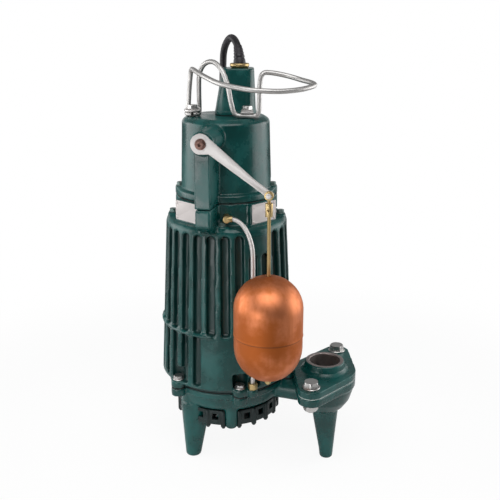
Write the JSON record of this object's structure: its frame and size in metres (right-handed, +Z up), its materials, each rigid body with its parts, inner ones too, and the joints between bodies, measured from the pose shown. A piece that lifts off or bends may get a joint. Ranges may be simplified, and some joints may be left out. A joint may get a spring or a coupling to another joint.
{
  "type": "submersible sump pump",
  "caption": "Upright pump with a finned housing on a footed case, a switch case with a lever arm and copper float, a bent wire guard, a side discharge flange and a cord.",
  "frame": {"origin": "floor under the middle of the pump's footprint, cord left out; the feet stand on z = 0", "axes": "+Z up along the motor's axis, +X towards the discharge side, -Y towards the float side"},
  "size_m": [0.2992, 0.4877, 0.6351],
  "materials": {
    "enamel": "dark green gloss enamel on iron castings",
    "stainless": "bright stainless steel",
    "brass": "plain brass",
    "copper": "drawn copper, bright with light handling marks",
    "winding_copper": "varnished copper windings",
    "bare_iron": "bare laminated or cast iron",
    "plate": "bare rolled aluminium, with nothing on it",
    "black_plastic": "black moulded plastic",
    "rubber": "black rubber"
  },
  "bodies": {
    "pump": {"pump_case": "enamel", "strainer_base": "black_plastic", "strainer_screws": "stainless", "shaft_seal": "rubber", "lower_bearing": "stainless", "seal_plate": "bare_iron", "case_gasket": "rubber", "motor_housing": "enamel", "case_bolts": "stainless", "stator_core": "bare_iron", "stator_windings": "winding_copper", "upper_bracket": "bare_iron", "upper_bearing": "stainless", "shoulder_screws": "stainless", "plate_left": "plate", "plate_right": "plate", "plate_rivets": "plate", "neck_gasket": "rubber", "switch_base": "black_plastic", "capacitor": "black_plastic", "float_switch": "black_plastic", "switch_case": "enamel", "switch_case_bolts": "stainless", "pivot_bushing": "brass", "side_tube": "stainless", "tube_fittings": "brass", "flange_gasket": "rubber", "discharge_flange": "enamel", "flange_bolts": "stainless", "cap_gasket": "rubber", "cord_cap": "enamel", "cap_screw": "stainless", "cord_gland": "brass", "strain_relief": "rubber", "guard_wire": "stainless", "guard_clips": "stainless", "guard_bolts": "stainless", "power_cord": "rubber", "cord_coil": "rubber", "cord_tail": "rubber", "plug_body": "rubber", "plug_pins": "brass"},
    "rotor": {"motor_shaft": "stainless", "rotor_core": "bare_iron", "impeller": "brass", "impeller_nut": "stainless"},
    "arm": {"float_arm": "stainless", "arm_bolt": "stainless", "pivot_shaft": "stainless", "switch_cam": "brass", "rod_pin": "stainless"},
    "rod": {"float_rod": "brass", "rod_collar": "brass", "rod_nuts": "brass"},
    "float": {"float_upper_half": "copper", "float_lower_half": "copper", "float_sleeve": "brass"}
  },
  "joints": [
    {"name": "shaft_spin", "type": "hinge", "parent": "pump", "child": "rotor", "pos_m": [-0.0454, 0.04477, 0.2], "axis": [0, 0, 1], "continuous": true},
    {"name": "arm_swing", "type": "hinge", "parent": "pump", "child": "arm", "pos_m": [-0.07493, -0.07823, 0.501], "axis": [-0.2334, -0.9724, 0], "range_deg": [0, 36]},
    {"name": "rod_swing", "type": "hinge", "parent": "arm", "child": "rod", "pos_m": [0.01451, -0.10413, 0.438], "axis": [-0.2334, -0.9724, 0], "range_deg": [-36, 0]},
    {"name": "float_slide", "type": "slide", "parent": "rod", "child": "float", "axis": [0, 0, 1], "range_m": [0, 0.082]}
  ],
  "couplings": [
    {"joint": "rod_swing", "follows": "arm_swing", "ratio": -1}
  ]
}
